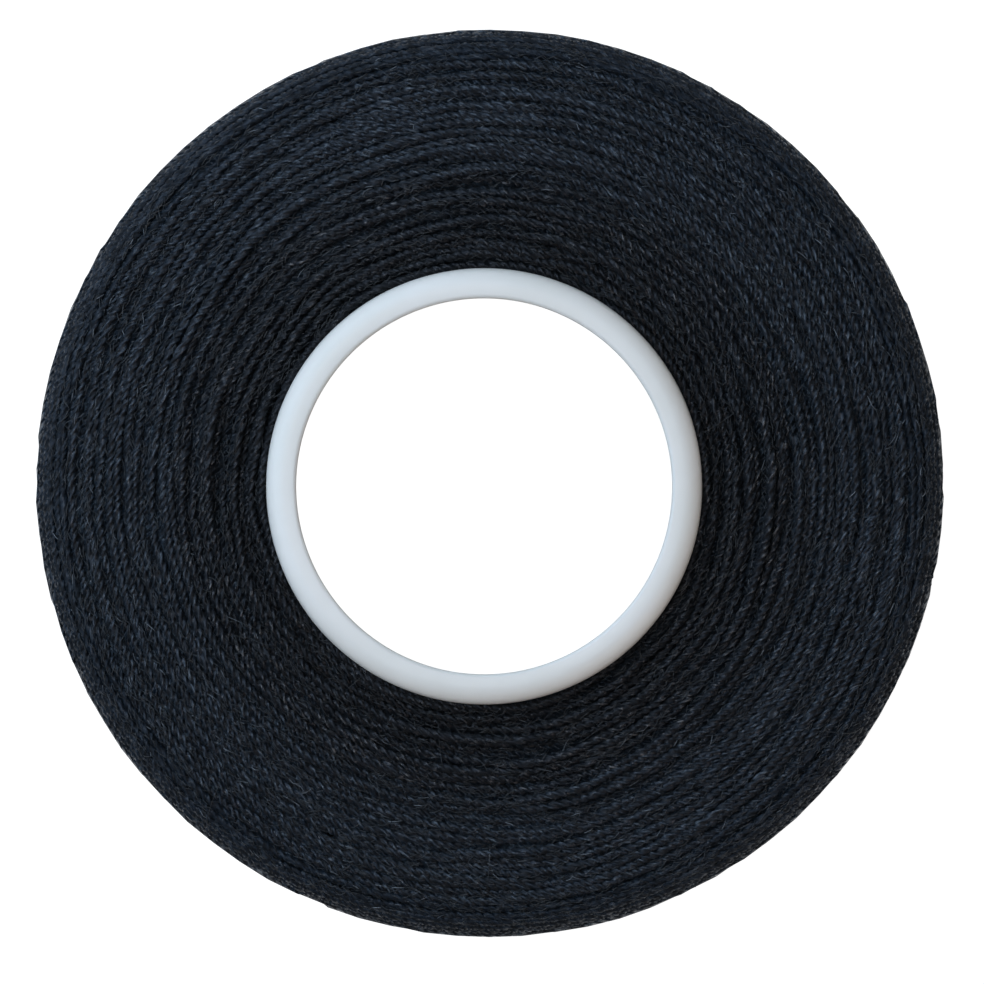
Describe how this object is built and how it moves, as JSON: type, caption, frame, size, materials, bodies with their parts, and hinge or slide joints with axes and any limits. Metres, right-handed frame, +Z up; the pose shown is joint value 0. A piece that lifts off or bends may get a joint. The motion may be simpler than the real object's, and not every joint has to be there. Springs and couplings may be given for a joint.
{
  "type": "cone of thread",
  "caption": "Small tapered cone of black twisted sewing thread wound on a white plastic core tube that is open right through for a spool pin.",
  "frame": {"origin": "centre of the core's wide end, on the surface that the cone stands on", "axes": "+Z up the cone's axis from the wide base to the narrow nose; the part is turned about this axis, so +X and +Y are free"},
  "size_m": [0.0478, 0.0478, 0.053],
  "materials": {
    "core_plastic": "injection moulded white polypropylene, smooth, slightly milky, soft sheen",
    "thread": "blue-black twisted polyester thread in close turns, low sheen, lightly hairy"
  },
  "bodies": {
    "root": {"core": "core_plastic", "winding": "thread"}
  },
  "joints": []
}
